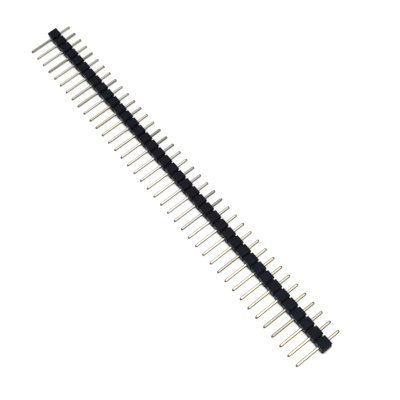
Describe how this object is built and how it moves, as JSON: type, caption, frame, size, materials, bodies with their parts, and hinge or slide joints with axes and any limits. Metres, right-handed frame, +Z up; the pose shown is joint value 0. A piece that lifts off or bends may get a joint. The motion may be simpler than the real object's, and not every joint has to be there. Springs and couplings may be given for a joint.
{
  "type": "pin header strip",
  "caption": "Single-row snap-apart pin header: black moulded housing of square cells with grooves and notches between them, one square pale gold pin pressed through each cell.",
  "frame": {"origin": "on the surface that the strip lies on, under the middle of its bounding box; the pins' centre plane is 1.27 mm above it", "axes": "+X along the row from pin_01 to pin_40, +Y along the pins from the mating legs to the solder tails, +Z up, across the row"},
  "size_m": [0.1016, 0.0116, 0.0025],
  "materials": {
    "housing_plastic": "satin",
    "pin_plating": "polished"
  },
  "bodies": {
    "root": {"housing": "housing_plastic", "pin_01": "pin_plating", "pin_02": "pin_plating", "pin_03": "pin_plating", "pin_04": "pin_plating", "pin_05": "pin_plating", "pin_06": "pin_plating", "pin_07": "pin_plating", "pin_08": "pin_plating", "pin_09": "pin_plating", "pin_10": "pin_plating", "pin_11": "pin_plating", "pin_12": "pin_plating", "pin_13": "pin_plating", "pin_14": "pin_plating", "pin_15": "pin_plating", "pin_16": "pin_plating", "pin_17": "pin_plating", "pin_18": "pin_plating", "pin_19": "pin_plating", "pin_20": "pin_plating", "pin_21": "pin_plating", "pin_22": "pin_plating", "pin_23": "pin_plating", "pin_24": "pin_plating", "pin_25": "pin_plating", "pin_26": "pin_plating", "pin_27": "pin_plating", "pin_28": "pin_plating", "pin_29": "pin_plating", "pin_30": "pin_plating", "pin_31": "pin_plating", "pin_32": "pin_plating", "pin_33": "pin_plating", "pin_34": "pin_plating", "pin_35": "pin_plating", "pin_36": "pin_plating", "pin_37": "pin_plating", "pin_38": "pin_plating", "pin_39": "pin_plating", "pin_40": "pin_plating"}
  },
  "joints": []
}
